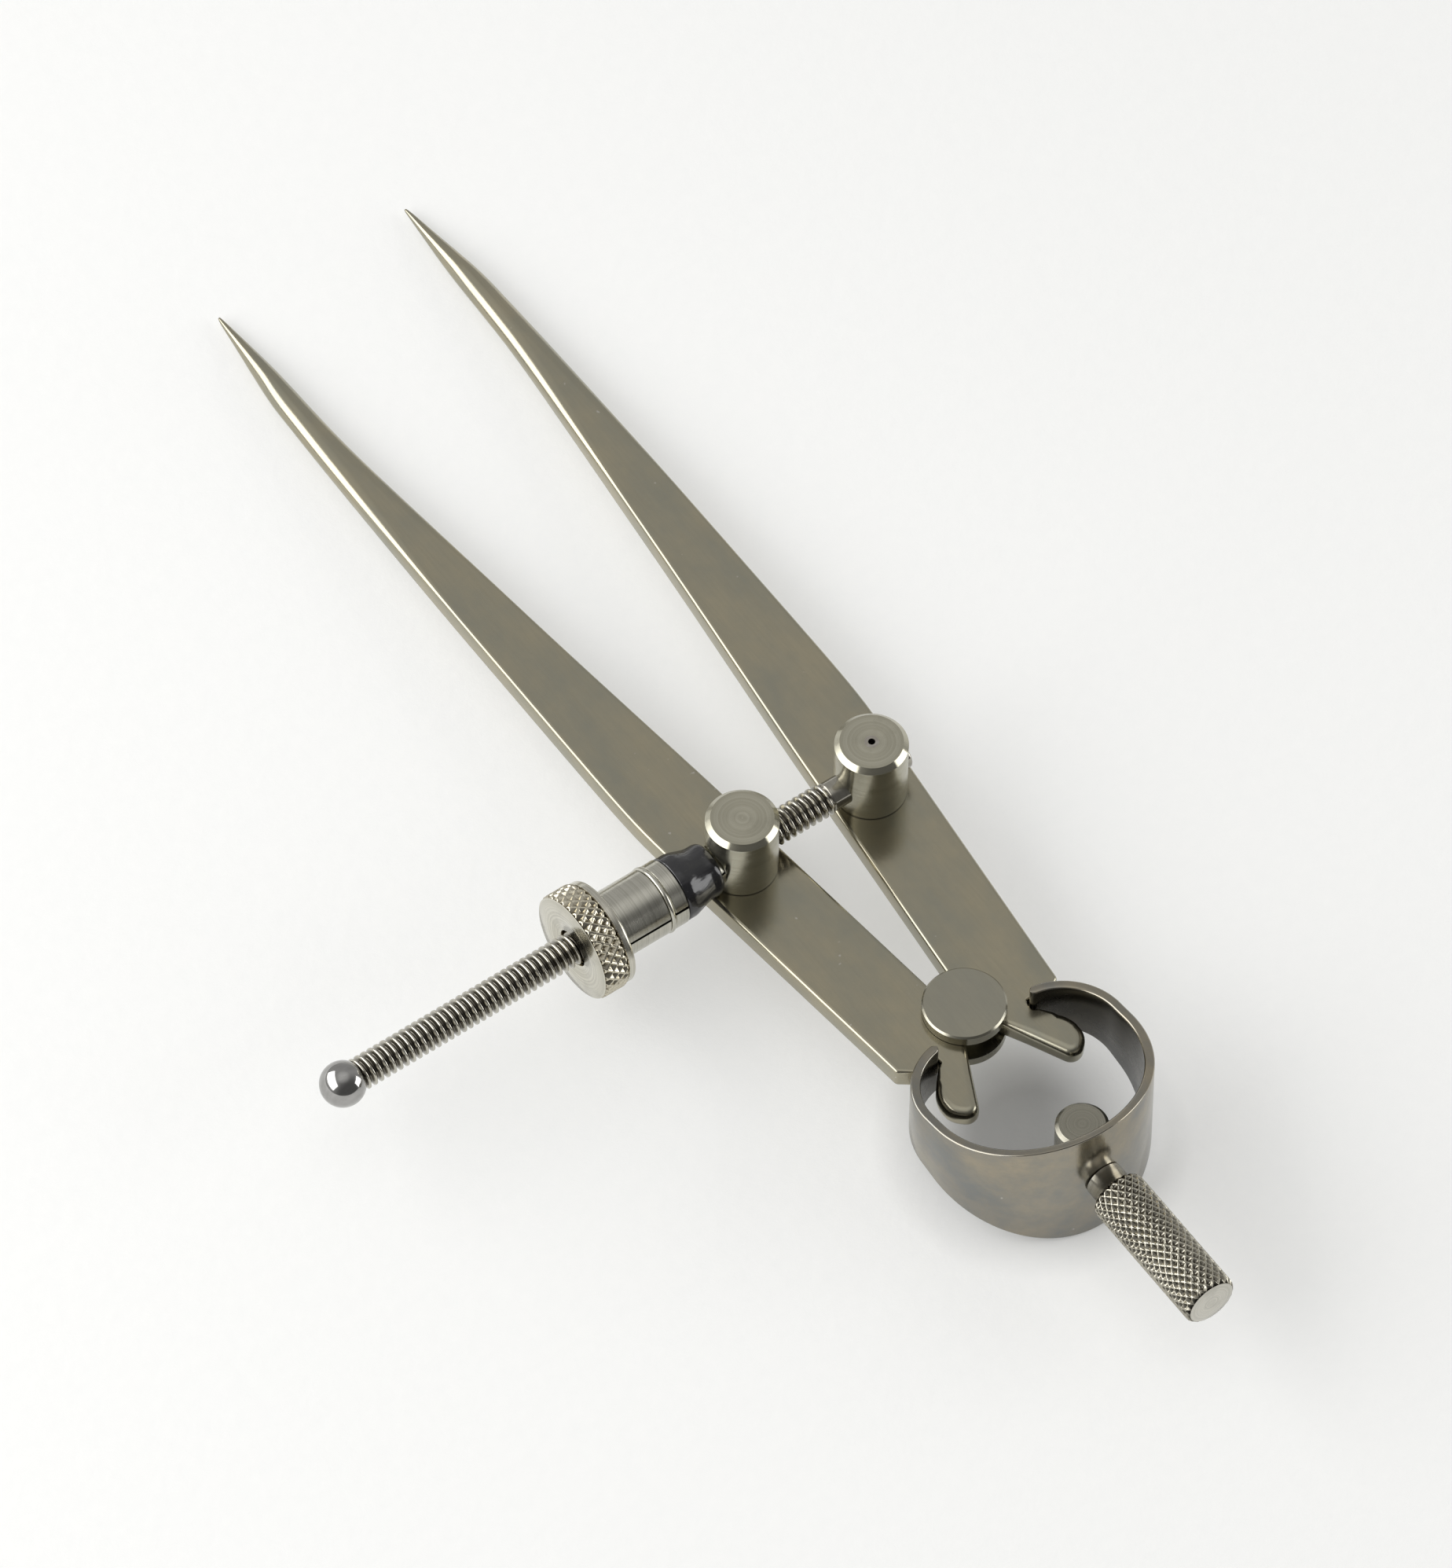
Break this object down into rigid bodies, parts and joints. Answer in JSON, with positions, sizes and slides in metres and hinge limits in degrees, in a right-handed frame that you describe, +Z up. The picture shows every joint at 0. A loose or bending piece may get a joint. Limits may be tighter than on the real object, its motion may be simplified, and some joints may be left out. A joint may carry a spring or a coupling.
{
  "type": "spring divider",
  "caption": "Spring divider: pointed flat legs rock on a grooved stud, a bow spring opens them and a quick nut on a screw between swivel posts sets the opening.",
  "frame": {"origin": "centre of the fulcrum stud's lower face, on the axis that both legs rock about", "axes": "+Z up, normal to the flat legs; +Y from the handle towards the points; the adjusting screw lies along X with its ball at -X"},
  "size_m": [0.0993, 0.2083, 0.0251],
  "materials": {
    "leg_steel": "satin",
    "spring_steel": "polished",
    "bright_steel": "turned",
    "polished_steel": "polished",
    "black_rubber": "gloss"
  },
  "bodies": {
    "frame": {"fulcrum_stud": "leg_steel", "bow_spring": "spring_steel", "handle": "bright_steel", "handle_nut": "spring_steel"},
    "left_leg": {"left_leg": "leg_steel"},
    "right_leg": {"right_leg": "leg_steel"},
    "left_post": {"left_post": "bright_steel", "left_post_washer": "bright_steel"},
    "right_post": {"right_post": "bright_steel", "right_post_washer": "bright_steel", "adjusting_screw": "bright_steel", "screw_ball": "polished_steel", "screw_pin": "bright_steel"},
    "nut_nose": {"nut_nose_sleeve": "black_rubber"},
    "nut": {"nut_head": "bright_steel", "nut_ring_spring": "bright_steel"},
    "upper_jaw": {"nut_upper_jaw": "bright_steel"},
    "lower_jaw": {"nut_lower_jaw": "bright_steel"}
  },
  "joints": [
    {"name": "nut_slide", "type": "slide", "parent": "left_post", "child": "nut_nose", "axis": [-1, 0, 0], "range_m": [0, 0.01]},
    {"name": "nut_spin", "type": "hinge", "parent": "nut_nose", "child": "nut", "pos_m": [-0.03581, 0.03657, 0.009], "axis": [-1, 0, 0], "range_deg": [-2291, 8597]},
    {"name": "left_leg_swing", "type": "hinge", "parent": "frame", "child": "left_leg", "pos_m": [0, 0, 0.0034], "axis": [0, 0, 1], "range_deg": [-5.6, 21], "deforming": ["bow_spring"]},
    {"name": "right_leg_swing", "type": "hinge", "parent": "frame", "child": "right_leg", "pos_m": [0, 0, 0.0034], "axis": [0, 0, -1], "range_deg": [-5.6, 21]},
    {"name": "left_post_swivel", "type": "hinge", "parent": "left_leg", "child": "left_post", "pos_m": [-0.01081, 0.03657, 0.0034], "axis": [0, 0, -1], "range_deg": [-5.6, 21]},
    {"name": "right_post_swivel", "type": "hinge", "parent": "right_leg", "child": "right_post", "pos_m": [0.01081, 0.03657, 0.0034], "axis": [0, 0, 1], "range_deg": [-5.6, 21]},
    {"name": "upper_jaw_open", "type": "hinge", "parent": "nut", "child": "upper_jaw", "pos_m": [-0.03581, 0.03657, 0.009], "axis": [0, -0.9636, 0.2672], "range_deg": [0, 2.3], "stiffness_Nm_per_rad": 0.02, "deforming": ["nut_ring_spring", "nut_nose_sleeve"]},
    {"name": "lower_jaw_open", "type": "hinge", "parent": "nut", "child": "lower_jaw", "pos_m": [-0.03581, 0.03657, 0.009], "axis": [0, 0.9636, -0.2672], "range_deg": [0, 2.3], "stiffness_Nm_per_rad": 0.02}
  ],
  "couplings": [
    {"joint": "left_leg_swing", "follows": "nut_spin", "ratio": 0.0024423},
    {"joint": "right_leg_swing", "follows": "nut_spin", "ratio": 0.0024423},
    {"joint": "left_post_swivel", "follows": "nut_spin", "ratio": 0.0024423},
    {"joint": "right_post_swivel", "follows": "nut_spin", "ratio": 0.0024423},
    {"joint": "upper_jaw_open", "follows": "nut_slide", "rad_per_m": 4.0143},
    {"joint": "lower_jaw_open", "follows": "nut_slide", "rad_per_m": 4.0143}
  ]
}
